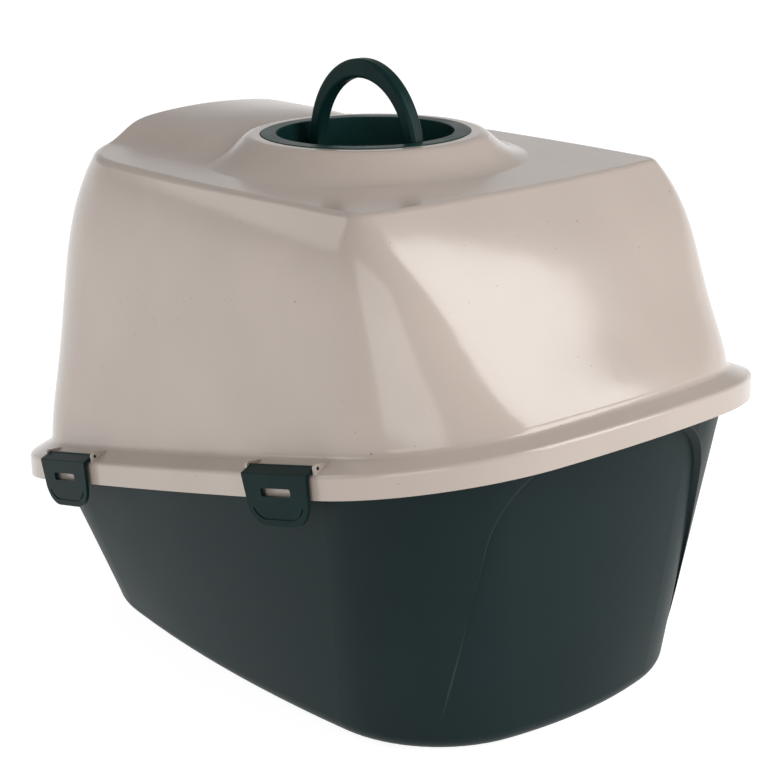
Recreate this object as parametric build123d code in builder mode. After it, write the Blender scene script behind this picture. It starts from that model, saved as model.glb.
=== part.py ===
from build123d import *
from collections import namedtuple
from math import atan2, cos, degrees, exp, hypot, pi, radians, sin, sqrt, tan
import os

os.makedirs("parts", exist_ok=True)

# A hooded cat litter box: pan, lift-off hood with a swing door, vent with
# carrying handle and filter, and four clips. All sizes in millimetres.
# X is to the box's right as seen from behind, -Y is the door side, +Z is up.
# The origin is on the floor, under the middle of the rim.

# Driving sizes of the box
HALF_WIDTH = 199.0          # hood rim, half its width
RIM_BACK = 285.5            # hood rim, along the sloping rim plane
RIM_FRONT = -285.5
RIM_TILT = 11.94            # the rim climbs towards the back, degrees
RIM_HEIGHT = 164.6          # lower edge of the hood's skirt, at the origin
RIDGE_HEIGHT = 381.5        # where the hood's walls turn into its top
PAN_WALL = 2.8
HOOD_WALL = 2.6

# Hood rim
SKIRT_HEIGHT = 17.0
SKIRT_WALL = 2.5
LEDGE_WIDTH = 18.6          # sloping ledge between skirt and wall
LEDGE_RISE = 8.5
LEDGE_FILLET = 6.0
SKIRT_FILLET = 3.5
SEAT_HEIGHT = 13.5          # the pan's flange carries the hood here
SEAT_RIB_INSET = 8.0
SEAT_RIB_WALL = 2.5
TOP_FILLET = 7.0

# Hood walls swell outwards between ledge and ridge
WALL_SWELL = ((0.25, 3.0), (0.5, 6.5), (0.82, 8.6))     # share of the height, swell
TOP_REACH = 32.0            # how far the wall surfaces run on above the ridge
TOP_REACH_INSET = 27.0

# Raised canopy over the door
CROWN_RISE = 20.6
CROWN_HALF = 84.5
CROWN_EDGE = 5.6
CROWN_FLATTEN = 0.32
CROWN_END = -67.4
CROWN_FADE = 23.7

# Pan
PAN_INSET_SIDE = 10.7       # pan wall inside the hood rim, at the flange
PAN_INSET_BACK = 24.6
PAN_INSET_FRONT = 27.5
PAN_GAP = 0.8               # play between the flange's lip and the skirt
FLANGE_WALL = 2.5
LIP_BOTTOM = 1.5
PAN_ROUNDING = 14.0         # round the pan's bottom
PAN_LEAN = 10.0             # the walls lean outwards there, degrees
PANEL_FOOT_HALF = 123.0     # arch pressed into the back wall, half its width below
PANEL_HALF = 90.0           # and above, if its corners were square
PANEL_TOP = 198.0
PANEL_CORNER = 46.0
PANEL_DEPTH = 8.0           # at the flange, and nothing at the bottom
PANEL_DRAFT = 20.0          # the arch opens outwards, degrees
PANEL_START = 200.0         # where the arch has the sizes above
PANEL_REACH = 150.0

# Doorway and door
DOOR_PLANE = -214.0         # outer face of the door wall
DOOR_HALF = 98.0
DOOR_TOP = 336.0
DOOR_BOTTOM = 150.0
DOOR_TOP_CORNER = 72.0
DOOR_BOTTOM_CORNER = 30.0
POCKET_MARGIN = 9.0
POCKET_DRAFT = 8.0
POCKET_DEPTH = 75.0
FLAP_GAP = 3.0
FLAP_WALL = 2.4
FLAP_AXIS_DROP = 15.0       # hinge axis below the doorway's top
FLAP_PIN_RADIUS = 2.0
FLAP_BARREL_RADIUS = 3.2
FLAP_BOSS_RADIUS = 4.5
FLAP_SIDE_PLAY = 0.8
FLAP_PIN_SHORT = 1.8        # pin end inside its boss
PIN_PLAY = 0.05             # radial play of every pin in its bore
PIN_END_PLAY = 0.4

# Vent bowl, grille and boss
VENT_Y = -7.0
BOSS_TOP = 400.5
BOSS_RADIUS = 86.0          # its flat top
BOSS_SLOPE = 41.0           # degrees
BOSS_FILLET = 11.0
BOSS_FLARE = 40.0           # radius of its hollow flank
BOSS_FOOT_SLOPE = 7.0       # degrees, where the flank meets the top
BOSS_WALL = 4.1             # round the opening, under its top
BOSS_DEPTH = 30.0
RING_RADIUS = 79.4
RING_WALL = 2.0
RING_SINK = 1.5
RING_FILLET = 0.8
RING_PLAY = 0.4
BOWL_RADIUS = 67.0
BOWL_WALL = 2.3
BOWL_FLOOR = 380.0
BOWL_FLOOR_WALL = 2.2
BOWL_FOOT = 6.5             # the wall runs on below the floor, for the cover
VENT_PLAY = 0.7
SLOT_COUNT = 24
SLOT_INNER = 20.0
SLOT_OUTER = 57.0
SLOT_WIDTH = 3.2

# Handle
HANDLE_AXIS = 386.4
HANDLE_SPAN = 61.0          # half its outer span
HANDLE_RISE = 68.8
HANDLE_BAND = 11.0
HANDLE_TOP_BAND = 14.5
HANDLE_WIDTH = 11.6
HANDLE_FILLET = 3.0
HANDLE_PIN_RADIUS = 3.0
HANDLE_PIN_LENGTH = 8.2

# Snap lugs that hold the bowl in the hood
SNAP_COUNT = 4
SNAP_ARC = 16.0             # degrees
SNAP_REACH = 3.5
SNAP_HEIGHT = 5.0
SNAP_PLAY = 0.3
SNAP_START = 37.0           # degrees from +X

# Filter cover, twisted on to the bowl from inside the hood
COVER_RADIUS = 70.0         # inside of its wall
COVER_WALL = 2.2
COVER_BOTTOM = 359.0
COVER_TOP = 376.0
LUG_COUNT = 3
LUG_ARC = 14.0              # degrees
LUG_BOTTOM = 372.0
LUG_HEIGHT = 2.0
LUG_PLAY = 0.4
LUG_START = 83.0            # degrees from +X
LUG_SIDE_PLAY = 1.0         # degrees
TWIST = 24.0                # degrees from locked to free
PAD_RADIUS = 66.0
PAD_WALL = 8.0

# Clips, each on a hinge above the rim's ledge
CLIP_REAR = 132.0           # along the side, from the middle
CLIP_FRONT = -139.0
CLIP_WIDTH = 68.0
CLIP_FOOT_WIDTH = 60.0      # where the bottom corners start
CLIP_WALL = 2.5
CLIP_STANDOFF = 3.0
CLIP_DROP = 17.5            # below the skirt's lower edge
CLIP_CORNER = 18.0
CLIP_BEND_UP = 17.6         # where the clip bends in over the ledge
CLIP_AXIS_IN = 4.0
CLIP_AXIS_UP = 21.2
CLIP_BARREL_RADIUS = 1.7
CLIP_PIN_RADIUS = 1.2
CLIP_PIN_LENGTH = 2.2
CLIP_SIDE_PLAY = 0.4
CLIP_SLOT_LENGTH = 31.0
CLIP_SLOT_HEIGHT = 5.8
CLIP_SLOT_UP = 5.5
CLIP_SLOT_CORNER = 1.5
GROOVE_IN = 4.2             # groove along the bottom edge
GROOVE_WIDTH = 1.4
GROOVE_DEPTH = 0.8
GROOVE_TOP = -5.0
HOOK_WIDTH = 27.0
HOOK_REACH = 5.9
HOOK_TIP = 1.0
HOOK_TIP_DROP = 2.9
HOOK_HEIGHT = 6.5
HOOK_PLAY = 0.45            # between the hook and the skirt's corner
EAR_WALL = 2.4
EAR_RADIUS = 3.0
EAR_ROOT = 1.0
EAR_DEPTH = 14.0            # the ears run out on the ledge

# Plan outlines are eight tangent arcs, mirrored about X = 0
Outline = namedtuple(
    "Outline",
    "side back front widest back_bow back_corner side_bow front_corner front_bow",
)
rim = Outline(
    side=HALF_WIDTH, back=RIM_BACK, front=RIM_FRONT, widest=-2.0, back_bow=789.0,
    back_corner=126.0, side_bow=3290.0, front_corner=108.0, front_bow=1182.0,
)
ridge = Outline(
    side=154.2, back=164.8, front=-221.5, widest=-5.4, back_bow=1249.0,
    back_corner=14.0, side_bow=1848.0, front_corner=104.5, front_bow=543.5,
)
base = Outline(
    side=152.2, back=228.5, front=-248.2, widest=47.2, back_bow=333.0,
    back_corner=101.5, side_bow=1259.0, front_corner=111.5, front_bow=424.0,
)
SMALLEST_CORNER = 6.0


def inset(shape, gap):
    """The same outline, drawn inwards all round by gap."""
    return Outline(
        side=shape.side - gap,
        back=shape.back - gap,
        front=shape.front + gap,
        widest=shape.widest,
        back_bow=shape.back_bow - gap,
        back_corner=max(shape.back_corner - gap, SMALLEST_CORNER),
        side_bow=shape.side_bow - gap,
        front_corner=max(shape.front_corner - gap, SMALLEST_CORNER),
        front_bow=shape.front_bow - gap,
    )


def between(low, high, share, swell):
    """An outline part of the way from low to high, swollen outwards."""
    mixed = Outline(*[a + (b - a) * share for a, b in zip(low, high)])
    return inset(mixed, -swell)


def corner_arc(side, back, widest, bow, corner, side_bow):
    """Centre of a corner arc and the angles where it leaves its neighbours."""
    end_y = back - bow
    side_x = side - side_bow
    end_reach = bow - corner
    side_reach = side_bow - corner
    apart = hypot(side_x, widest - end_y)
    along = (end_reach**2 - side_reach**2 + apart**2) / (2 * apart)
    off = sqrt(end_reach**2 - along**2)
    ux = side_x / apart
    uy = (widest - end_y) / apart
    x, y = max((along * ux + k * off * uy, end_y + along * uy - k * off * ux) for k in (1, -1))
    return x, y, degrees(atan2(y - end_y, x)), degrees(atan2(y - widest, x - side_x))


def outline_face(shape, plane):
    """A flat face inside the outline, on the given plane."""
    bx, by, b_end, b_side = corner_arc(
        shape.side, shape.back, shape.widest, shape.back_bow, shape.back_corner, shape.side_bow
    )
    fx, fy, f_end, f_side = corner_arc(
        shape.side, -shape.front, -shape.widest, shape.front_bow, shape.front_corner, shape.side_bow
    )
    side_x = shape.side - shape.side_bow
    with BuildSketch(plane) as sketch:
        with BuildLine():
            CenterArc((0, shape.back - shape.back_bow), shape.back_bow, b_end, 180 - 2 * b_end)
            CenterArc((-bx, by), shape.back_corner, 180 - b_end, b_end - b_side)
            CenterArc((-side_x, shape.widest), shape.side_bow, 180 - b_side, b_side + f_side)
            CenterArc((-fx, -fy), shape.front_corner, 180 + f_side, f_end - f_side)
            CenterArc((0, shape.front + shape.front_bow), shape.front_bow, 180 + f_end, 180 - 2 * f_end)
            CenterArc((fx, -fy), shape.front_corner, -f_end, f_end - f_side)
            CenterArc((side_x, shape.widest), shape.side_bow, -f_side, f_side + b_side)
            CenterArc((bx, by), shape.back_corner, b_side, b_end - b_side)
        make_face()
    return sketch.sketch


def sloping_plane(height, share):
    """A plane over the origin that climbs to the back by a share of the rim's tilt."""
    slope = radians(RIM_TILT * share)
    return Plane(origin=(0, 0, height), x_dir=(1, 0, 0), z_dir=(0, -sin(slope), cos(slope)))


def rim_plane(height):
    """The rim's sloping plane, raised by height above the skirt's lower edge."""
    return sloping_plane(RIM_HEIGHT + height, 1)


def upright_plane(y):
    """A plane across the box that looks out of the door side."""
    return Plane(origin=(0, y, 0), x_dir=(1, 0, 0), z_dir=(0, -1, 0))


def vent_plane(angle):
    """A plane through the vent's axis, with its x running outwards."""
    a = radians(angle)
    return Plane(origin=(0, VENT_Y, 0), x_dir=(cos(a), sin(a), 0), z_dir=(sin(a), -cos(a), 0))


VENT_AXIS = Axis((0, VENT_Y, 0), (0, 0, 1))


def clip_frame(side, place):
    """On the skirt at a clip: x along the rim, y up the skirt, z outwards."""
    slope = radians(RIM_TILT)
    a = (place - rim.widest) / rim.side_bow
    x = side * (rim.side - rim.side_bow * (1 - cos(a)))
    v = rim.widest + rim.side_bow * sin(a)
    out = Vector(side * cos(a), sin(a) * cos(slope), sin(a) * sin(slope))
    up = Vector(0, -sin(slope), cos(slope))
    origin = Vector(x, v * cos(slope), RIM_HEIGHT + v * sin(slope))
    return Plane(origin=origin, x_dir=up.cross(out), z_dir=out)


def clip_section(frame):
    """The plane across a clip: x outwards, y up the skirt."""
    return Plane(origin=frame.origin, x_dir=frame.z_dir, z_dir=-frame.x_dir)


# Pan
pan_top = Outline(
    side=rim.side - PAN_INSET_SIDE,
    back=rim.back - PAN_INSET_BACK,
    front=rim.front + PAN_INSET_FRONT,
    widest=rim.widest,
    back_bow=rim.back_bow - PAN_INSET_BACK,
    back_corner=rim.back_corner - PAN_INSET_BACK,
    side_bow=rim.side_bow - PAN_INSET_SIDE,
    front_corner=rim.front_corner - PAN_INSET_SIDE,
    front_bow=rim.front_bow - PAN_INSET_FRONT,
)
OVERRUN = 2.0
ARC_STEPS = 5


def pan_bottom(gap):
    """Sections round the pan's bottom edge, drawn in by gap, the highest first."""
    lean = radians(PAN_LEAN)
    reach = PAN_ROUNDING - gap
    turns = [lean + (pi / 2 - lean) * k / ARC_STEPS for k in range(ARC_STEPS + 1)]
    return [
        outline_face(
            inset(base, PAN_ROUNDING * cos(lean) - reach * cos(a)),
            Plane.XY.offset(PAN_ROUNDING - reach * sin(a)),
        )
        for a in turns
    ]


def pan_walls(gap, top, depth):
    """Sections of the pan's walls, drawn in by gap, with the back pushed in by depth."""
    high = inset(pan_top._replace(back=pan_top.back - depth), gap)
    return [pan_bottom(gap)[0], outline_face(high, rim_plane(top))]


def back_panel(grow):
    """The part of the back wall that is pressed in, as a cutter."""
    low = pan_bottom(grow)[0].center().Z
    with BuildPart() as panel:
        with BuildSketch(upright_plane(PANEL_START)):
            with BuildLine():
                Polyline(
                    (-PANEL_FOOT_HALF - grow, low), (-PANEL_HALF - grow, PANEL_TOP + grow),
                    (PANEL_HALF + grow, PANEL_TOP + grow), (PANEL_FOOT_HALF + grow, low), close=True,
                )
            make_face()
            fillet(vertices().group_by(Axis.Y)[-1], PANEL_CORNER + grow)
        extrude(amount=-PANEL_REACH, taper=-PANEL_DRAFT)
        split(bisect_by=Plane.XY.offset(low), keep=Keep.TOP)
        loft(pan_walls(grow, SEAT_HEIGHT, PANEL_DEPTH), ruled=True, mode=Mode.SUBTRACT)
    return panel.part


def snap_ring(count, first, arc, inner, outer, low, high):
    """Equal blocks round the vent's axis, made as one part."""
    with BuildPart() as ring:
        for k in range(count):
            with BuildSketch(vent_plane(first + 360 * k / count)):
                with Locations((inner, low)):
                    Rectangle(outer - inner, high - low, align=(Align.MIN, Align.MIN))
            revolve(axis=VENT_AXIS, revolution_arc=arc)
    return ring.part


with BuildPart() as pan_hollow:
    loft(pan_bottom(PAN_WALL))
    loft(pan_walls(PAN_WALL, SEAT_HEIGHT + OVERRUN, 0), ruled=True)
    add(back_panel(PAN_WALL), mode=Mode.SUBTRACT)

lip = inset(rim, SKIRT_WALL + PAN_GAP)
with BuildPart() as pan:
    loft([outline_face(lip, rim_plane(LIP_BOTTOM)), outline_face(lip, rim_plane(SEAT_HEIGHT))])
    lip_hollow = inset(lip, FLANGE_WALL)
    loft(
        [
            outline_face(lip_hollow, rim_plane(LIP_BOTTOM - OVERRUN)),
            outline_face(lip_hollow, rim_plane(SEAT_HEIGHT - FLANGE_WALL)),
        ],
        mode=Mode.SUBTRACT,
    )
    loft(pan_bottom(0))
    loft(pan_walls(0, SEAT_HEIGHT, 0), ruled=True)
    add(back_panel(0), mode=Mode.SUBTRACT)
    add(pan_hollow.part, mode=Mode.SUBTRACT)
pan.part.label = "pan"


# Hood
LEDGE_SLOPE = atan2(LEDGE_RISE, LEDGE_WIDTH)
HOLLOW_CENTRE = LEDGE_WIDTH - LEDGE_FILLET
FOOT_HEIGHT = SKIRT_HEIGHT + HOLLOW_CENTRE * tan(LEDGE_SLOPE) + LEDGE_FILLET / cos(LEDGE_SLOPE)
TOP_STEP_X = 6
TOP_STEP_Y = 8
TOP_REACH_Y = 300


def crown(x, y):
    """Height of the canopy over the door above the rest of the hood's top."""
    across = (1 - CROWN_FLATTEN * (x / CROWN_HALF) ** 2) / (1 + exp((abs(x) - CROWN_HALF) / CROWN_EDGE))
    along = 1 / (1 + exp((y - CROWN_END) / CROWN_FADE))
    return CROWN_RISE * across * along


def hood_top(drop):
    """The hood's top surface, lowered by drop."""
    reach_x = TOP_STEP_X * (int(HALF_WIDTH / TOP_STEP_X) + 2)
    xs = range(-reach_x, reach_x + 1, TOP_STEP_X)
    ys = range(-TOP_REACH_Y, TOP_REACH_Y + 1, TOP_STEP_Y)
    height = RIDGE_HEIGHT - drop
    points = [[Vector(x, y, height + crown(x, y)) for y in ys] for x in xs]
    return Face.make_surface_from_array_of_points(points, tol=0.05)


def hood_walls(gap):
    """Sections of the hood's walls, drawn in by gap, from the ledge to above the ridge."""
    foot = inset(rim, LEDGE_WIDTH + gap)
    top = inset(ridge, gap)
    foot_z = RIM_HEIGHT + FOOT_HEIGHT
    rows = [outline_face(foot, rim_plane(FOOT_HEIGHT))]
    for share, swell in WALL_SWELL:
        height = foot_z + (RIDGE_HEIGHT - foot_z) * share
        row = between(foot, top, share, swell)
        rows.append(outline_face(row, sloping_plane(height, 1 - share)))
    rows.append(outline_face(top, sloping_plane(RIDGE_HEIGHT, 0)))
    rows.append(outline_face(inset(top, TOP_REACH_INSET), sloping_plane(RIDGE_HEIGHT + TOP_REACH, 0)))
    return rows


def door_shape(plane, grow):
    """The doorway's outline, grown all round."""
    with BuildSketch(plane) as sketch:
        with Locations((0, DOOR_BOTTOM - grow)):
            height = DOOR_TOP - DOOR_BOTTOM + 2 * grow
            Rectangle(2 * (DOOR_HALF + grow), height, align=(Align.CENTER, Align.MIN))
        fillet(vertices().group_by(Axis.Y)[-1], DOOR_TOP_CORNER + grow)
        fillet(vertices().group_by(Axis.Y)[0], DOOR_BOTTOM_CORNER + grow)
    return sketch.sketch


def door_pocket(grow):
    """The hollow in front of the door wall, as a cutter."""
    with BuildPart() as pocket:
        extrude(door_shape(upright_plane(DOOR_PLANE + grow), POCKET_MARGIN + grow),
                amount=POCKET_DEPTH, taper=-POCKET_DRAFT)
    return pocket.part


def vent_boss(drop):
    """The round boss about the vent, lowered by drop."""
    top = BOSS_TOP - drop
    turn = BOSS_FILLET * (1 - cos(radians(BOSS_SLOPE)))
    flare = BOSS_FLARE * (cos(radians(BOSS_FOOT_SLOPE)) - cos(radians(BOSS_SLOPE)))
    flank = (BOSS_TOP - RIDGE_HEIGHT - turn - flare) / sin(radians(BOSS_SLOPE))
    with BuildPart() as raised:
        with BuildSketch(vent_plane(0)):
            with BuildLine():
                Line((0, top), (BOSS_RADIUS, top))
                shoulder = JernArc((BOSS_RADIUS, top), (1, 0), BOSS_FILLET, -BOSS_SLOPE)
                slope = PolarLine(shoulder @ 1, flank, -BOSS_SLOPE)
                hollow = JernArc(slope @ 1, slope % 1, BOSS_FLARE, BOSS_SLOPE - BOSS_FOOT_SLOPE)
                Polyline(hollow @ 1, ((hollow @ 1).X, top - BOSS_DEPTH), (0, top - BOSS_DEPTH), (0, top))
            make_face()
        revolve(axis=VENT_AXIS)
    return raised.part


def rim_stack(levels):
    """Outlines round the rim, each at an inset and a height above the skirt's edge."""
    return [outline_face(inset(rim, gap), rim_plane(height)) for gap, height in levels]


def skirt_arc():
    """Insets and heights round the skirt's upper edge."""
    low = SKIRT_HEIGHT + SKIRT_FILLET * (tan(LEDGE_SLOPE) - 1 / cos(LEDGE_SLOPE))
    turns = [(pi / 2 - LEDGE_SLOPE) * k / ARC_STEPS for k in range(ARC_STEPS + 1)]
    return [(SKIRT_FILLET * (1 - cos(a)), low + SKIRT_FILLET * sin(a)) for a in turns]


def hollow_arc(gap):
    """Insets and heights along the hollow between ledge and wall, drawn in by gap."""
    reach = LEDGE_FILLET + gap
    turns = [LEDGE_SLOPE + (pi / 2 - LEDGE_SLOPE) * k / ARC_STEPS for k in range(ARC_STEPS + 1)]
    return [(HOLLOW_CENTRE + reach * sin(a), FOOT_HEIGHT - reach * cos(a)) for a in turns]


with BuildPart() as hood_hollow:
    loft(hood_walls(HOOD_WALL))
    extrude(hood_top(HOOD_WALL), amount=RIDGE_HEIGHT, dir=(0, 0, -1), mode=Mode.INTERSECT)
    fillet(faces().sort_by(Axis.Z)[-1].edges(), TOP_FILLET - HOOD_WALL)
    add(vent_boss(BOSS_WALL))
    add(door_pocket(HOOD_WALL), mode=Mode.SUBTRACT)
    turned = hollow_arc(HOOD_WALL)
    under = turned[0][1] - (turned[0][0] - SKIRT_WALL) * tan(LEDGE_SLOPE)
    loft(rim_stack([(SKIRT_WALL, -OVERRUN), (SKIRT_WALL, under)]), ruled=True)
    loft(rim_stack([(SKIRT_WALL, under), turned[0]]), ruled=True)
    loft(rim_stack(turned))

def rim_ring(gap, wall, low, high):
    """A ring of the rim's shape, its outside at gap, between two heights."""
    with BuildPart() as ring:
        loft(rim_stack([(gap, low), (gap, high)]))
        loft(rim_stack([(gap + wall, low), (gap + wall, high)]), mode=Mode.SUBTRACT)
    return ring.part


def door_half_width(height, grow):
    """Half the width of the grown doorway at a height in its upper part."""
    rise = height - DOOR_TOP + DOOR_TOP_CORNER
    return DOOR_HALF - DOOR_TOP_CORNER + sqrt((DOOR_TOP_CORNER + grow) ** 2 - rise**2)


flap_axis_y = DOOR_PLANE + HOOD_WALL / 2
flap_axis_z = DOOR_TOP - FLAP_AXIS_DROP
flap_boss_start = door_half_width(flap_axis_z - FLAP_BOSS_RADIUS - FLAP_SIDE_PLAY, -FLAP_GAP) + FLAP_SIDE_PLAY
flap_boss_end = door_half_width(flap_axis_z, POCKET_MARGIN) + HOOD_WALL / 2


def hinge_plane(side):
    """Where a hinge boss of the door starts, looking outwards."""
    return Plane(origin=(side * flap_boss_start, flap_axis_y, flap_axis_z), x_dir=(0, 1, 0), z_dir=(side, 0, 0))


def ledge_line(inwards):
    """Height of the ledge above the skirt's edge, square to the rim plane."""
    return (SKIRT_HEIGHT + LEDGE_RISE * inwards / LEDGE_WIDTH) * cos(radians(RIM_TILT))


with BuildPart() as hood:
    loft(hood_walls(0))
    extrude(hood_top(0), amount=RIDGE_HEIGHT, dir=(0, 0, -1), mode=Mode.INTERSECT)
    fillet(faces().sort_by(Axis.Z)[-1].edges(), TOP_FILLET)
    add(vent_boss(0))
    loft(rim_stack([(0, 0), skirt_arc()[0]]), ruled=True)
    loft(rim_stack(skirt_arc()))
    loft(rim_stack([skirt_arc()[-1], hollow_arc(0)[0]]), ruled=True)
    loft(rim_stack(hollow_arc(0)))
    add(door_pocket(0), mode=Mode.SUBTRACT)
    add(hood_hollow.part, mode=Mode.SUBTRACT)

    # rib under the ledge that rests on the pan's flange
    rib_top = SKIRT_HEIGHT + SEAT_RIB_INSET * tan(LEDGE_SLOPE) - HOOD_WALL / 2
    add(rim_ring(SEAT_RIB_INSET, SEAT_RIB_WALL, SEAT_HEIGHT, rib_top))
    # doorway and the door's hinge bosses
    extrude(door_shape(upright_plane(DOOR_PLANE), 0), amount=-POCKET_DEPTH, mode=Mode.SUBTRACT)
    for side in (1, -1):
        with BuildSketch(hinge_plane(side)):
            Circle(FLAP_BOSS_RADIUS)
        extrude(amount=flap_boss_end - flap_boss_start)
    with BuildSketch(Plane.YZ):
        with Locations((flap_axis_y, flap_axis_z)):
            Circle(FLAP_PIN_RADIUS + PIN_PLAY)
    extrude(amount=flap_boss_end - FLAP_PIN_SHORT + PIN_END_PLAY, both=True, mode=Mode.SUBTRACT)
    # opening and seat for the vent bowl
    with BuildSketch(Plane.XY.offset(BOSS_TOP)):
        with Locations((0, VENT_Y)):
            Circle(BOWL_RADIUS + BOWL_WALL + VENT_PLAY)
    extrude(amount=-BOSS_DEPTH, mode=Mode.SUBTRACT)
    with BuildSketch(Plane.XY.offset(BOSS_TOP + CROWN_RISE)):
        with Locations((0, VENT_Y)):
            Circle(RING_RADIUS + RING_PLAY)
    extrude(amount=-CROWN_RISE - RING_SINK, mode=Mode.SUBTRACT)
    # ears for the clips' hinge pins
    for side in (1, -1):
        for place in (CLIP_REAR, CLIP_FRONT):
            section = clip_section(clip_frame(side, place))
            for end in (1, -1):
                with BuildSketch(section.offset(end * (CLIP_WIDTH / 2 + CLIP_SIDE_PLAY + EAR_WALL / 2))):
                    with Locations((-CLIP_AXIS_IN, CLIP_AXIS_UP)):
                        Circle(EAR_RADIUS)
                    with BuildLine():
                        Polyline(
                            (-CLIP_AXIS_IN + EAR_RADIUS, CLIP_AXIS_UP),
                            (-CLIP_AXIS_IN + EAR_RADIUS, ledge_line(CLIP_AXIS_IN - EAR_RADIUS) - EAR_ROOT),
                            (-EAR_DEPTH, ledge_line(EAR_DEPTH) - EAR_ROOT),
                            (-EAR_DEPTH, ledge_line(EAR_DEPTH) + EAR_ROOT / 2),
                            (-CLIP_AXIS_IN, CLIP_AXIS_UP + EAR_RADIUS),
                            close=True,
                        )
                    make_face()
                    with Locations((-CLIP_AXIS_IN, CLIP_AXIS_UP)):
                        Circle(CLIP_PIN_RADIUS + PIN_PLAY, mode=Mode.SUBTRACT)
                extrude(amount=EAR_WALL / 2, both=True)
hood.part.label = "hood"


# Swing door
with BuildPart() as door_flap:
    barrel_half = door_half_width(flap_axis_z + FLAP_BARREL_RADIUS, 0) - FLAP_GAP
    with BuildSketch(Plane.YZ):
        with Locations((flap_axis_y, flap_axis_z)):
            Circle(FLAP_BARREL_RADIUS)
    extrude(amount=barrel_half, both=True)
    extrude(door_shape(upright_plane(flap_axis_y), -FLAP_GAP), amount=FLAP_WALL / 2, both=True)
    with BuildSketch(Plane.YZ):
        with Locations((flap_axis_y, flap_axis_z)):
            Circle(FLAP_PIN_RADIUS)
    extrude(amount=flap_boss_end - FLAP_PIN_SHORT, both=True)
door_flap.part.label = "door_flap"


# Vent bowl, let into the boss
bowl_outer = BOWL_RADIUS + BOWL_WALL
ring_bottom = BOSS_TOP - RING_SINK
floor_bottom = BOWL_FLOOR - BOWL_FLOOR_WALL
with BuildPart() as vent_bowl:
    with BuildSketch(vent_plane(0)):
        with BuildLine():
            Polyline(
                (0, floor_bottom), (BOWL_RADIUS, floor_bottom), (BOWL_RADIUS, floor_bottom - BOWL_FOOT),
                (bowl_outer, floor_bottom - BOWL_FOOT), (bowl_outer, ring_bottom),
                (RING_RADIUS, ring_bottom), (RING_RADIUS, ring_bottom + RING_WALL),
                (BOWL_RADIUS, ring_bottom + RING_WALL), (BOWL_RADIUS, BOWL_FLOOR), (0, BOWL_FLOOR),
                close=True,
            )
        make_face()
        rounded = vertices().group_by(Axis.Y)[-1]
        fillet(rounded, RING_FILLET)
    revolve(axis=VENT_AXIS)
    with BuildSketch(Plane.XY.offset(BOWL_FLOOR)):
        with Locations((0, VENT_Y)):
            with PolarLocations((SLOT_INNER + SLOT_OUTER) / 2, SLOT_COUNT):
                SlotOverall(SLOT_OUTER - SLOT_INNER, SLOT_WIDTH)
    extrude(amount=-BOWL_FLOOR_WALL, mode=Mode.SUBTRACT)
    snap_top = BOSS_TOP - BOSS_WALL - SNAP_PLAY
    add(snap_ring(SNAP_COUNT, SNAP_START, SNAP_ARC, bowl_outer - BOWL_WALL / 2, bowl_outer + SNAP_REACH,
                  snap_top - SNAP_HEIGHT, snap_top))
    add(snap_ring(LUG_COUNT, LUG_START, LUG_ARC, bowl_outer - BOWL_WALL / 2, COVER_RADIUS + COVER_WALL,
                  LUG_BOTTOM, LUG_BOTTOM + LUG_HEIGHT))
    with BuildSketch(Plane.XZ.offset(-VENT_Y)):
        with Locations((0, HANDLE_AXIS)):
            Circle(HANDLE_PIN_RADIUS + PIN_PLAY)
    extrude(amount=bowl_outer + OVERRUN, both=True, mode=Mode.SUBTRACT)
vent_bowl.part.label = "vent_bowl"


# Carrying handle
with BuildPart() as handle:
    with BuildSketch(Plane.YZ):
        with Locations((VENT_Y, HANDLE_AXIS)):
            Ellipse(HANDLE_SPAN, HANDLE_RISE)
            Ellipse(HANDLE_SPAN - HANDLE_BAND, HANDLE_RISE - HANDLE_TOP_BAND, mode=Mode.SUBTRACT)
            Rectangle(2 * HANDLE_RISE, HANDLE_RISE, align=(Align.CENTER, Align.MAX), mode=Mode.SUBTRACT)
    extrude(amount=HANDLE_WIDTH / 2, both=True)
    fillet(edges().filter_by(GeomType.ELLIPSE), HANDLE_FILLET)
    for end in (1, -1):
        foot_y = VENT_Y + end * (HANDLE_SPAN - HANDLE_BAND)
        foot = Plane(origin=(0, foot_y, HANDLE_AXIS), x_dir=(1, 0, 0), z_dir=(0, end, 0))
        with BuildSketch(foot):
            Circle(HANDLE_WIDTH / 2)
        extrude(amount=HANDLE_BAND)
        with BuildSketch(foot):
            Circle(HANDLE_PIN_RADIUS)
        extrude(amount=HANDLE_BAND + HANDLE_PIN_LENGTH)
handle.part.label = "handle"


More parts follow.
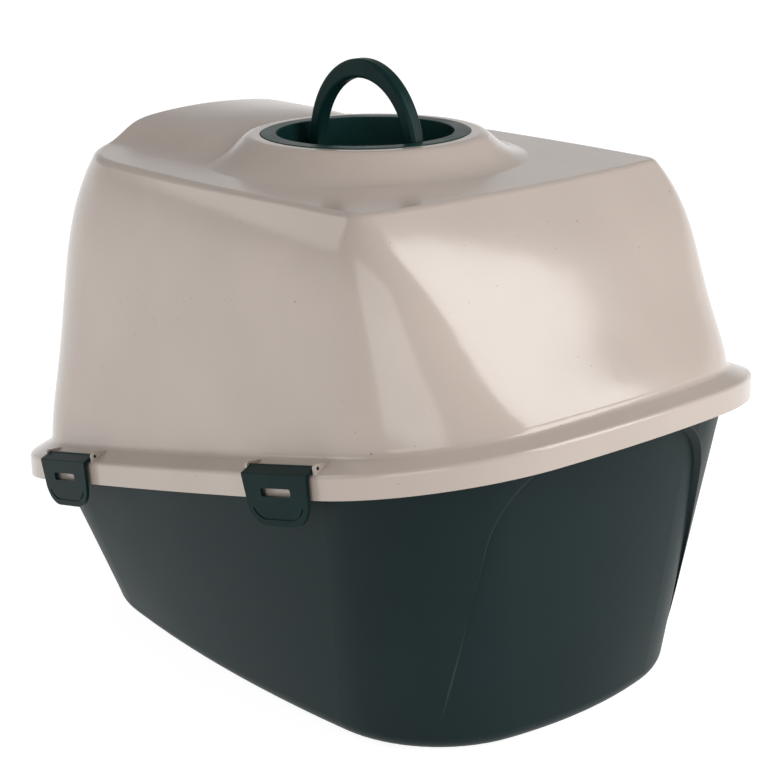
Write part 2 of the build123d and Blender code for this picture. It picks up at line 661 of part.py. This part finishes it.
# Filter cover and filter
with BuildPart() as filter_cover:
    cover_outer = COVER_RADIUS + COVER_WALL
    cover_floor = COVER_BOTTOM + COVER_WALL
    with BuildSketch(vent_plane(0)):
        with BuildLine():
            Polyline(
                (0, COVER_BOTTOM), (cover_outer, COVER_BOTTOM), (cover_outer, COVER_TOP),
                (COVER_RADIUS, COVER_TOP), (COVER_RADIUS, cover_floor), (0, cover_floor), close=True,
            )
        make_face()
        fillet(vertices().group_by(Axis.Y)[0].sort_by(Axis.X)[-1], COVER_WALL)
    revolve(axis=VENT_AXIS)
    with BuildSketch(Plane.XY.offset(cover_floor)):
        with Locations((0, VENT_Y)):
            with PolarLocations((SLOT_INNER + SLOT_OUTER) / 2, SLOT_COUNT):
                SlotOverall(SLOT_OUTER - SLOT_INNER, SLOT_WIDTH)
    extrude(amount=-COVER_WALL, mode=Mode.SUBTRACT)
    window_start = LUG_START - TWIST - LUG_SIDE_PLAY
    window_in = COVER_RADIUS - LUG_PLAY
    window_low = LUG_BOTTOM - LUG_PLAY
    window_high = LUG_BOTTOM + LUG_HEIGHT + LUG_PLAY
    add(
        snap_ring(LUG_COUNT, window_start, LUG_ARC + TWIST + 2 * LUG_SIDE_PLAY, window_in,
                  cover_outer + LUG_PLAY, window_low, window_high),
        mode=Mode.SUBTRACT,
    )
    add(
        snap_ring(LUG_COUNT, window_start, LUG_ARC + 2 * LUG_SIDE_PLAY, window_in,
                  cover_outer + LUG_PLAY, window_low, COVER_TOP + LUG_PLAY),
        mode=Mode.SUBTRACT,
    )
filter_cover.part.label = "filter_cover"

with BuildPart() as filter_pad:
    with BuildSketch(Plane.XY.offset(cover_floor)):
        with Locations((0, VENT_Y)):
            Circle(PAD_RADIUS)
    extrude(amount=PAD_WALL)
filter_pad.part.label = "filter_pad"


# Clips
def clip_front(plane):
    """The clip seen from outside."""
    with BuildSketch(plane) as sketch:
        with BuildLine():
            Polyline(
                (-CLIP_WIDTH / 2, CLIP_AXIS_UP + CLIP_WALL), (CLIP_WIDTH / 2, CLIP_AXIS_UP + CLIP_WALL),
                (CLIP_WIDTH / 2, CLIP_BEND_UP), (CLIP_FOOT_WIDTH / 2, -CLIP_DROP),
                (-CLIP_FOOT_WIDTH / 2, -CLIP_DROP), (-CLIP_WIDTH / 2, CLIP_BEND_UP), close=True,
            )
        make_face()
        fillet(vertices().group_by(Axis.Y)[0], CLIP_CORNER)
    return sketch.sketch


CLIP_NAMES = {
    (1, CLIP_REAR): "clip_rear_right",
    (1, CLIP_FRONT): "clip_front_right",
    (-1, CLIP_REAR): "clip_rear_left",
    (-1, CLIP_FRONT): "clip_front_left",
}
for (side, place), name in CLIP_NAMES.items():
    frame = clip_frame(side, place)
    section = clip_section(frame)
    body_out = CLIP_STANDOFF + CLIP_WALL / 2
    flange_in = (-CLIP_AXIS_IN - body_out, CLIP_AXIS_UP - CLIP_BEND_UP)
    with BuildPart() as clip:
        with BuildSketch(section):
            with Locations((body_out, CLIP_BEND_UP)):
                Rectangle(CLIP_WALL, CLIP_BEND_UP + CLIP_DROP, align=(Align.CENTER, Align.MAX))
            with Locations((body_out + flange_in[0] / 2, CLIP_BEND_UP + flange_in[1] / 2)):
                SlotCenterToCenter(hypot(*flange_in), CLIP_WALL, rotation=degrees(atan2(flange_in[1], flange_in[0])))
            with Locations((-CLIP_AXIS_IN, CLIP_AXIS_UP)):
                Circle(CLIP_BARREL_RADIUS)
        extrude(amount=CLIP_WIDTH / 2, both=True)
        extrude(clip_front(frame), amount=CLIP_WIDTH, both=True, mode=Mode.INTERSECT)
        with BuildSketch(frame.offset(CLIP_STANDOFF + CLIP_WALL)):
            add(clip_front(Plane.XY))
            offset(amount=-GROOVE_IN, mode=Mode.REPLACE)
            offset(amount=-GROOVE_WIDTH, mode=Mode.SUBTRACT)
            with Locations((0, GROOVE_TOP)):
                Rectangle(CLIP_WIDTH, CLIP_WIDTH, align=(Align.CENTER, Align.MIN), mode=Mode.SUBTRACT)
        extrude(amount=-GROOVE_DEPTH, mode=Mode.SUBTRACT)
        with BuildSketch(frame):
            with Locations((0, CLIP_SLOT_UP)):
                RectangleRounded(CLIP_SLOT_LENGTH, CLIP_SLOT_HEIGHT, CLIP_SLOT_CORNER)
        extrude(amount=CLIP_WIDTH, mode=Mode.SUBTRACT)
        with BuildSketch(section):
            with BuildLine():
                Polyline(
                    (body_out, HOOK_TIP), (CLIP_STANDOFF - HOOK_REACH, HOOK_TIP),
                    (CLIP_STANDOFF - HOOK_REACH, -HOOK_TIP_DROP), (CLIP_STANDOFF, -HOOK_HEIGHT),
                    (body_out, -HOOK_HEIGHT), close=True,
                )
            make_face()
            with Locations((-CLIP_AXIS_IN, CLIP_AXIS_UP)):
                Circle(hypot(CLIP_AXIS_IN, CLIP_AXIS_UP) + HOOK_PLAY, mode=Mode.SUBTRACT)
        extrude(amount=HOOK_WIDTH / 2, both=True)
        with BuildSketch(section):
            with Locations((-CLIP_AXIS_IN, CLIP_AXIS_UP)):
                Circle(CLIP_PIN_RADIUS)
        extrude(amount=CLIP_WIDTH / 2 + CLIP_PIN_LENGTH, both=True)
    clip.part.label = name
    export_step(clip.part, "parts/" + name + ".step")

for piece in (pan, hood, door_flap, vent_bowl, handle, filter_cover, filter_pad):
    export_step(piece.part, "parts/" + piece.part.label + ".step")
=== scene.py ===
from math import cos, hypot, pi, radians, sin, tan

import bpy
from mathutils import Matrix, Vector


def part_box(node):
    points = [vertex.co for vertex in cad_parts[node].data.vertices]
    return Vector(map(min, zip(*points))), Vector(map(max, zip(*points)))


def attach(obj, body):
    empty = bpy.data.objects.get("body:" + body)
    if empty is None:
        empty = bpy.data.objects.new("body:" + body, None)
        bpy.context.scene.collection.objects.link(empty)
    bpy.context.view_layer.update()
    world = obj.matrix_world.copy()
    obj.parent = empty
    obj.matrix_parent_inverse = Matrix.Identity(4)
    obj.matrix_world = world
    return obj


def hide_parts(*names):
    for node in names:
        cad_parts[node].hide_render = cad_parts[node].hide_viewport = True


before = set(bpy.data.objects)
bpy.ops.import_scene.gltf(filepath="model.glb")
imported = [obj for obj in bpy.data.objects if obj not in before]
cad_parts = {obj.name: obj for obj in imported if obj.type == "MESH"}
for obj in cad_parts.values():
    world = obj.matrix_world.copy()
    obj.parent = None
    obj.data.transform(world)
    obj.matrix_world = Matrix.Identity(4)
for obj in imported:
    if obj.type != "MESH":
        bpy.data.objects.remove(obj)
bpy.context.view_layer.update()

bl_info = {
    "name": "Hooded Litter Box",
    "version": (1, 0, 0),
    "blender": (4, 5, 0),
    "location": "View3D > Sidebar > Litter Box",
    "description": "Finishes for a hooded cat litter box, with its floor, lights and camera",
    "category": "Object",
}

# the arch in the pan's back, along whose edge a highlight is painted: half its width at the floor
# and above, height and corner at ARCH_START behind the origin, and how it widens from there
ARCH_FOOT = 0.123
ARCH_HALF = 0.090
ARCH_TOP = 0.198
ARCH_CORNER = 0.046
ARCH_START = 0.200
ARCH_DRAFT = 20             # degrees
ARCH_BACK = 0.12            # the painted edge highlight is drawn behind this

# the felt: parts of its radius where its rings lie, below and above
FELT_AROUND = 96
FELT_BELOW = (0.3, 0.6, 0.85)
FELT_ABOVE = (0.88, 0.72, 0.55, 0.38, 0.2)
FELT_EDGE_STEPS = 8
FELT_PLAY = 0.0002
FELT_CROWN = 0.0004
FELT_PEAK = 0.0005

# camera and lights
CAMERA_PLACE = (0.9524, 1.0993, 0.6397)
CAMERA_VIEW = (-0.6319, -0.7185, -0.2906)
CAMERA_ROLL = -0.8636       # degrees
FOCAL_LENGTH = 89.8184      # mm
SENSOR = 36.0               # mm
LIGHT_TARGET = (0.0, 0.0, 0.22)
LIGHTS = (                  # name, place, width, height, power in watts
    ("key", (-1.35, 2.2, 1.75), 1.7, 3.0, 84),
    ("corner", (2.2, 1.15, 0.85), 1.9, 1.4, 18),
    ("left", (1.6, -2.0, 1.8), 1.4, 1.4, 10),
)
SKY_FADE = (("From Min", 0.05), ("From Max", 0.30), ("To Min", 1.0), ("To Max", 0.34))

CLIPS = ("clip_rear_right", "clip_front_right", "clip_rear_left", "clip_front_left")


class Value:
    """A socket of a material, with arithmetic that adds Math nodes."""

    def __init__(self, paint, socket):
        self.paint = paint
        self.socket = socket

    def _math(self, operation, *values):
        return self.paint.node("ShaderNodeMath", {"operation": operation}, *values)

    def __add__(self, other):
        return self._math("ADD", self, other)

    __radd__ = __add__

    def __sub__(self, other):
        return self._math("SUBTRACT", self, other)

    def __rsub__(self, other):
        return self._math("SUBTRACT", other, self)

    def __mul__(self, other):
        return self._math("MULTIPLY", self, other)

    __rmul__ = __mul__

    def __pow__(self, other):
        return self._math("POWER", self, other)

    def __abs__(self):
        return self._math("ABSOLUTE", self)

    def most(self, other):
        return self._math("MAXIMUM", self, other)

    def __lt__(self, other):
        return self._math("LESS_THAN", self, other)

    def __gt__(self, other):
        return self._math("GREATER_THAN", self, other)

    def ease(self, low, high):
        """0 below low, 1 above high, with a smooth step between."""
        settings = {"interpolation_type": "SMOOTHSTEP"}
        return self.paint.node("ShaderNodeMapRange", settings, self, low, high, 0.0, 1.0)

    def ease_down(self, low, high):
        return 1 - self.ease(low, high)


class Paint:
    """A material that is put together node by node."""

    def __init__(self, name):
        self.material = bpy.data.materials.new(name)
        self.material.use_nodes = True
        self.tree = self.material.node_tree
        self.tree.nodes.clear()

    def node(self, kind, settings, *values, out=0, **named):
        made = self.tree.nodes.new(kind)
        for key, setting in settings.items():
            setattr(made, key, setting)
        for key, value in list(enumerate(values)) + list(named.items()):
            socket = made.inputs[key.replace("_", " ") if isinstance(key, str) else key]
            if isinstance(value, Value):
                self.tree.links.new(value.socket, socket)
            elif value is not None:
                socket.default_value = value
        return Value(self, made.outputs[out]) if made.outputs else None

    def place(self):
        """Position on the object, in metres."""
        return self.node("ShaderNodeTexCoord", {}, out="Object")

    def noise(self, place, size, detail=2.0, roughness=0.5):
        """Soft noise with features of the given size in metres, about 0 to 1."""
        return self.node(
            "ShaderNodeTexNoise", {"noise_dimensions": "3D"},
            Vector=place, Scale=1.0 / size, Detail=detail, Roughness=roughness,
        )

    def speck(self, place, spacing, size, share):
        """1 inside small specks: one cell in share holds a speck of the given size."""
        settings = {"voronoi_dimensions": "3D", "feature": "F1"}
        away = self.node("ShaderNodeTexVoronoi", settings, Vector=place, Scale=1.0 / spacing)
        pick = self.node("ShaderNodeTexVoronoi", settings, Vector=place, Scale=1.0 / spacing, out="Color")
        red = self.node("ShaderNodeSeparateColor", {}, pick)
        return (away * spacing < size) * (red < share)

    def mix(self, share, low, high):
        """A colour between low and high."""
        made = self.tree.nodes.new("ShaderNodeMix")
        made.data_type = "RGBA"
        for key, value in ((0, share), (6, low), (7, high)):
            if isinstance(value, Value):
                self.tree.links.new(value.socket, made.inputs[key])
            else:
                made.inputs[key].default_value = value
        return Value(self, made.outputs[2])

    def bump(self, height, distance, strength=1.0):
        return self.node("ShaderNodeBump", {}, Height=height, Distance=distance, Strength=strength)

    def finish(self, **sockets):
        """Closes the material with a Principled shader."""
        shader = self.node("ShaderNodeBsdfPrincipled", {}, **sockets)
        self.node("ShaderNodeOutputMaterial", {}, shader)
        return self.material


def tint(colour, factor):
    """The colour made darker or lighter."""
    return tuple(min(c * factor, 1.0) for c in colour[:3]) + (1.0,)


def dress(node, material):
    """Gives a CAD node its finish."""
    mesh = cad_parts[node].data
    mesh.materials.clear()
    mesh.materials.append(material)
    for polygon in mesh.polygons:
        polygon.material_index = 0


class BoxColours(bpy.types.PropertyGroup):
    """Colours of the box's plastics."""

    hood: bpy.props.FloatVectorProperty(
        name="Hood", description="Colour of the hood's glossy plastic",
        subtype="COLOR", size=3, min=0, max=1, default=(0.405, 0.342, 0.300),
    )
    speck: bpy.props.FloatVectorProperty(
        name="Specks", description="Colour of the fine specks in the hood",
        subtype="COLOR", size=3, min=0, max=1, default=(0.13, 0.10, 0.08),
    )
    pan: bpy.props.FloatVectorProperty(
        name="Pan", description="Colour of the pan's matte plastic",
        subtype="COLOR", size=3, min=0, max=1, default=(0.005, 0.014, 0.015),
    )
    # a painted highlight: colour of the pale line along the arch's edge, painted into the pan's colour
    arch_highlight: bpy.props.FloatVectorProperty(
        name="Arch edge", description="Colour of the pale line along the edge of the pan's arch",
        subtype="COLOR", size=3, min=0, max=1, default=(0.050, 0.058, 0.058),
    )
    trim: bpy.props.FloatVectorProperty(
        name="Trim", description="Colour of the handle, the vent and the clips",
        subtype="COLOR", size=3, min=0, max=1, default=(0.0035, 0.015, 0.014),
    )
    door: bpy.props.FloatVectorProperty(
        name="Door", description="Tint of the smoky door",
        subtype="COLOR", size=3, min=0, max=1, default=(0.16, 0.15, 0.14),
    )
    filter: bpy.props.FloatVectorProperty(
        name="Filter", description="Colour of the filter's felt",
        subtype="COLOR", size=3, min=0, max=1, default=(0.018, 0.018, 0.019),
    )
    floor: bpy.props.FloatVectorProperty(
        name="Floor", description="Colour of the floor",
        subtype="COLOR", size=3, min=0, max=1, default=(0.28, 0.28, 0.28),
    )


class BoxSizes(bpy.types.PropertyGroup):
    """Sizes of what is not in the frame."""

    speck: bpy.props.FloatProperty(
        name="Speck", description="Radius of a speck in the hood", subtype="DISTANCE",
        unit="LENGTH", default=0.00045,
    )
    speck_spacing: bpy.props.FloatProperty(
        name="Speck spacing", description="Cell of the pattern of specks", subtype="DISTANCE",
        unit="LENGTH", default=0.009,
    )
    grain: bpy.props.FloatProperty(
        name="Grain", description="Size of the moulded grain on the pan", subtype="DISTANCE",
        unit="LENGTH", default=0.0007,
    )
    pad_edge: bpy.props.FloatProperty(
        name="Filter edge", description="Radius of the filter's soft edge", subtype="DISTANCE",
        unit="LENGTH", default=0.003,
    )
    floor: bpy.props.FloatProperty(
        name="Floor", description="Half the floor's width", subtype="DISTANCE", unit="LENGTH",
        default=14.0,
    )


class LITTER_OT_hood(bpy.types.Operator):
    """Gives the hood its glossy speckled plastic"""

    bl_idname = "litter.hood"
    bl_label = "Hood"

    def execute(self, context):
        colours = context.scene.litter_colours
        sizes = context.scene.litter_sizes
        paint = Paint("speckled gloss plastic")
        place = paint.place()
        cloud = paint.noise(place, 0.09, 3.0).ease(0.3, 0.7)
        base = paint.mix(cloud, tint(colours.hood, 0.965), tint(colours.hood, 1.02))
        fine = paint.speck(place, sizes.speck_spacing, sizes.speck, 0.35)
        bold = paint.speck(place, sizes.speck_spacing * 3.1, sizes.speck * 1.4, 0.3)
        marks = (fine * 0.65 + bold * 0.85).ease(0.0, 1.0)
        colour = paint.mix(marks, base, tint(colours.speck, 1.0))
        ripple = paint.noise(place, 0.014, 2.0)
        haze = paint.noise(place, 0.05, 4.0, 0.6)
        dress("hood", paint.finish(
            Base_Color=colour,
            Roughness=0.15 + haze * 0.08,
            Normal=paint.bump(ripple, 0.00025, 0.35),
            Coat_Weight=0.15,
            Coat_Roughness=0.10,
            IOR=1.49,
        ))
        return {"FINISHED"}


def arch_edge_highlight(across, back, height):
    """1 along the outer edge of the arch pressed into the pan's back, where a pale highlight is painted
    into the pan's colour.
    """
    lean = (ARCH_FOOT - ARCH_HALF) / ARCH_TOP
    slant = hypot(1, lean)
    turn = lean / slant
    grown = (back - ARCH_START) * tan(radians(ARCH_DRAFT))
    side = (abs(across) + height * lean - ARCH_FOOT) * (1 / slant) + ARCH_CORNER
    lid = height - ARCH_TOP + ARCH_CORNER
    near_side = side - lid * turn
    near_lid = lid - side * turn
    bend = ((near_side * side + near_lid * lid) * (1 / (1 - turn ** 2))) ** 0.5
    rounded = (near_side > 0.0) * (near_lid > 0.0)
    outline = rounded * bend + (1 - rounded) * side.most(lid)
    away = abs(outline - ARCH_CORNER - grown)
    return away.ease_down(0.0003, 0.0012) * (back > ARCH_BACK) * height.ease(0.02, 0.07)


class LITTER_OT_pan(bpy.types.Operator):
    """Gives the pan its matte, finely grained plastic"""

    bl_idname = "litter.pan"
    bl_label = "Pan"

    def execute(self, context):
        colours = context.scene.litter_colours
        sizes = context.scene.litter_sizes
        paint = Paint("grained matte plastic")
        place = paint.place()
        cloud = paint.noise(place, 0.12, 4.0, 0.55).ease(0.25, 0.75)
        base = paint.mix(cloud, tint(colours.pan, 0.90), tint(colours.pan, 1.10))
        across, back, height = (paint.node("ShaderNodeSeparateXYZ", {}, place, out=k) for k in "XYZ")
        scuffs = paint.noise(place, 0.004, 5.0, 0.7).ease(0.58, 0.75) * height.ease_down(0.0, 0.02)
        colour = paint.mix(scuffs * 0.35, base, tint(colours.pan, 2.4))
        # paints a highlight along the arch's edge into the pan's colour
        colour = paint.mix(arch_edge_highlight(across, back, height) * 0.6, colour, tint(colours.arch_highlight, 1.0))
        grain = paint.noise(place, sizes.grain, 2.0)
        dress("pan", paint.finish(
            Base_Color=colour,
            Roughness=0.40 + cloud * 0.07 + scuffs * 0.1,
            Normal=paint.bump(grain, 0.00006, 0.6),
            IOR=1.49,
            Specular_IOR_Level=0.11,
        ))
        return {"FINISHED"}


def trim_finish(context, name, wear, painted_light=1.0):
    """Dark green satin plastic; wear pales it in small scuffs, and painted_light is painted light: a
    lighter copy of the same green for a part that looks more lit.
    """
    green = tint(context.scene.litter_colours.trim, painted_light)
    sizes = context.scene.litter_sizes
    paint = Paint(name)
    place = paint.place()
    cloud = paint.noise(place, 0.03, 3.0).ease(0.3, 0.7)
    base = paint.mix(cloud, tint(green, 0.88), tint(green, 1.15))
    scuffs = paint.noise(place, 0.0018, 5.0, 0.65).ease(0.62, 0.78) * wear
    colour = paint.mix(scuffs, base, tint(green, 3.0))
    grain = paint.noise(place, sizes.grain * 0.8, 2.0)
    return paint.finish(
        Base_Color=colour,
        Roughness=0.27 + cloud * 0.07 + scuffs * 0.15,
        Normal=paint.bump(grain, 0.00004, 0.5),
        IOR=1.49,
        Specular_IOR_Level=0.07,
    )


class LITTER_OT_vent(bpy.types.Operator):
    """Gives the vent bowl and the filter cover their satin plastic"""

    bl_idname = "litter.vent"
    bl_label = "Vent"

    def execute(self, context):
        # painted light: the vent bowl and its cover are made 1.7 times lighter than the trim green, as if
        # more light fell into the bowl
        plastic = trim_finish(context, "satin plastic of the vent", 0.25, 1.7)
        for node in ("vent_bowl", "filter_cover"):
            dress(node, plastic)
        return {"FINISHED"}


class LITTER_OT_handle(bpy.types.Operator):
    """Gives the carrying handle its satin plastic"""

    bl_idname = "litter.handle"
    bl_label = "Handle"

    def execute(self, context):
        # painted light: the handle is made 1.3 times lighter than the trim green
        dress("handle", trim_finish(context, "satin plastic of the handle", 0.45, 1.3))
        return {"FINISHED"}


class LITTER_OT_clips(bpy.types.Operator):
    """Gives the clips their satin plastic"""

    bl_idname = "litter.clips"
    bl_label = "Clips"

    def execute(self, context):
        plastic = trim_finish(context, "satin plastic of the clips", 0.35)
        for node in CLIPS:
            dress(node, plastic)
        return {"FINISHED"}


class LITTER_OT_door(bpy.types.Operator):
    """Gives the swing door its smoky translucent plastic"""

    bl_idname = "litter.door"
    bl_label = "Door"

    def execute(self, context):
        colours = context.scene.litter_colours
        paint = Paint("smoky translucent plastic")
        place = paint.place()
        cloud = paint.noise(place, 0.06, 3.0).ease(0.3, 0.7)
        smears = paint.noise(place, 0.02, 5.0, 0.6).ease(0.5, 0.8)
        dress("door_flap", paint.finish(
            Base_Color=paint.mix(cloud, tint(colours.door, 0.9), tint(colours.door, 1.1)),
            Roughness=0.12 + smears * 0.12,
            Transmission_Weight=0.55,
            IOR=1.49,
        ))
        return {"FINISHED"}


class LITTER_OT_filter(bpy.types.Operator):
    """Makes the felt filter pad in its cover"""

    bl_idname = "litter.filter"
    bl_label = "Filter"

    def execute(self, context):
        colours = context.scene.litter_colours
        edge = context.scene.litter_sizes.pad_edge
        low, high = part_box("filter_pad")
        middle = (low + high) / 2
        radius = (high.x - low.x) / 2 - FELT_PLAY
        bottom, top = low.z + FELT_PLAY, high.z - FELT_PLAY - FELT_CROWN
        around = FELT_AROUND
        rings = [(0.0, bottom)]
        rings += [(radius * share, bottom) for share in FELT_BELOW]
        for k in range(FELT_EDGE_STEPS + 1):
            turn = pi * k / FELT_EDGE_STEPS
            rise = (top - bottom - 2 * edge) * k / FELT_EDGE_STEPS
            rings.append((radius - edge + edge * sin(turn), bottom + edge - edge * cos(turn) + rise))
        for share in FELT_ABOVE:
            crown = FELT_CROWN * (1 - share ** 2)
            rings.append((radius * share, top + crown))
        rings.append((0.0, top + FELT_PEAK))
        points = []
        faces = []
        for reach, height in rings[1:-1]:
            for k in range(around):
                turn = 2 * pi * k / around
                points.append((middle.x + reach * cos(turn), middle.y + reach * sin(turn), height))
        for row in range(len(rings) - 3):
            for k in range(around):
                after = (k + 1) % around
                faces.append((
                    row * around + k, row * around + after,
                    (row + 1) * around + after, (row + 1) * around + k,
                ))
        last = (len(rings) - 3) * around
        points += [(middle.x, middle.y, bottom), (middle.x, middle.y, top + FELT_PEAK)]
        for k in range(around):
            after = (k + 1) % around
            faces.append((len(points) - 2, after, k))
            faces.append((len(points) - 1, last + k, last + after))
        mesh = bpy.data.meshes.new("filter_felt")
        mesh.from_pydata(points, [], faces)
        mesh.shade_smooth()
        pad = bpy.data.objects.new("filter_felt", mesh)
        context.scene.collection.objects.link(pad)

        paint = Paint("black felt")
        place = paint.place()
        fibres = paint.noise(place, 0.0012, 6.0, 0.75)
        tufts = paint.noise(place, 0.006, 3.0).ease(0.35, 0.65)
        mesh.materials.append(paint.finish(
            Base_Color=paint.mix(tufts, tint(colours.filter, 0.7), tint(colours.filter, 1.6)),
            Roughness=0.9 + fibres * 0.1,
            Normal=paint.bump(fibres, 0.0006, 0.9),
            Sheen_Weight=0.35,
        ))
        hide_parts("filter_pad")
        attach(pad, "filter_cover")
        return {"FINISHED"}


def area_light(name, place, width, height, power):
    """A white soft box that looks at the middle of the box."""
    data = bpy.data.lights.new(name, "AREA")
    data.shape = "RECTANGLE"
    data.size = width
    data.size_y = height
    data.energy = power
    lamp = bpy.data.objects.new(name, data)
    lamp.location = place
    lamp.rotation_mode = "QUATERNION"
    lamp.rotation_quaternion = (Vector(LIGHT_TARGET) - Vector(place)).to_track_quat("-Z", "Y")
    bpy.context.scene.collection.objects.link(lamp)
    return lamp


class LITTER_OT_stage(bpy.types.Operator):
    """Makes the floor, the soft lights and the camera"""

    bl_idname = "litter.stage"
    bl_label = "Floor, lights and camera"

    def execute(self, context):
        scene = context.scene
        half = scene.litter_sizes.floor
        mesh = bpy.data.meshes.new("floor")
        mesh.from_pydata(
            [(-half, -half, 0), (half, -half, 0), (half, half, 0), (-half, half, 0)], [], [(0, 1, 2, 3)]
        )
        floor = bpy.data.objects.new("floor", mesh)
        scene.collection.objects.link(floor)
        paint = Paint("pale floor")
        place = paint.place()
        cloud = paint.noise(place, 0.5, 2.0)
        colour = scene.litter_colours.floor
        mesh.materials.append(paint.finish(
            Base_Color=paint.mix(cloud, tint(colour, 0.995), tint(colour, 1.0)), Roughness=0.9,
            Emission_Color=(1.0, 1.0, 1.0, 1.0), Emission_Strength=0.9,
        ))

        world = bpy.data.worlds.new("studio")
        scene.world = world
        world.use_nodes = True
        tree = world.node_tree
        back = tree.nodes["Background"]
        back.inputs["Color"].default_value = (1.0, 1.0, 1.0, 1.0)
        place = tree.nodes.new("ShaderNodeTexCoord")
        apart = tree.nodes.new("ShaderNodeSeparateXYZ")
        fade = tree.nodes.new("ShaderNodeMapRange")
        fade.interpolation_type = "SMOOTHSTEP"
        for key, value in SKY_FADE:
            fade.inputs[key].default_value = value
        tree.links.new(place.outputs["Generated"], apart.inputs[0])
        tree.links.new(apart.outputs["Z"], fade.inputs["Value"])
        tree.links.new(fade.outputs[0], back.inputs["Strength"])

        for light in LIGHTS:
            area_light(*light)

        forward = Vector(CAMERA_VIEW).normalized()
        right = forward.cross(Vector((0, 0, 1))).normalized()
        up = right.cross(forward)
        roll = radians(CAMERA_ROLL)
        across = right * cos(roll) + up * sin(roll)
        upright = up * cos(roll) - right * sin(roll)
        data = bpy.data.cameras.new("camera")
        data.sensor_fit = "AUTO"
        data.sensor_width = SENSOR
        data.lens = FOCAL_LENGTH
        camera = bpy.data.objects.new("camera", data)
        turned = Matrix((across, upright, -forward)).transposed().to_4x4()
        camera.matrix_world = Matrix.Translation(CAMERA_PLACE) @ turned
        scene.collection.objects.link(camera)
        scene.camera = camera
        scene.view_settings.view_transform = "Standard"
        return {"FINISHED"}


class LITTER_PT_panel(bpy.types.Panel):
    """Lists the pieces of the litter box"""

    bl_label = "Hooded Litter Box"
    bl_idname = "LITTER_PT_panel"
    bl_space_type = "VIEW_3D"
    bl_region_type = "UI"
    bl_category = "Litter Box"

    def draw(self, context):
        layout = self.layout
        for group in (context.scene.litter_colours, context.scene.litter_sizes):
            for key in group.__annotations__:
                layout.prop(group, key)
        for operator in OPERATORS:
            layout.operator(operator.bl_idname)


OPERATORS = (
    LITTER_OT_hood, LITTER_OT_pan, LITTER_OT_vent, LITTER_OT_handle, LITTER_OT_clips,
    LITTER_OT_door, LITTER_OT_filter, LITTER_OT_stage,
)
CLASSES = (BoxColours, BoxSizes) + OPERATORS + (LITTER_PT_panel,)


def register():
    for made in CLASSES:
        bpy.utils.register_class(made)
    bpy.types.Scene.litter_colours = bpy.props.PointerProperty(type=BoxColours)
    bpy.types.Scene.litter_sizes = bpy.props.PointerProperty(type=BoxSizes)


def unregister():
    del bpy.types.Scene.litter_sizes
    del bpy.types.Scene.litter_colours
    for made in reversed(CLASSES):
        bpy.utils.unregister_class(made)


def main():
    register()
    for operator in OPERATORS:
        group, name = operator.bl_idname.split(".")
        getattr(getattr(bpy.ops, group), name)()


if __name__ == "__main__":
    main()
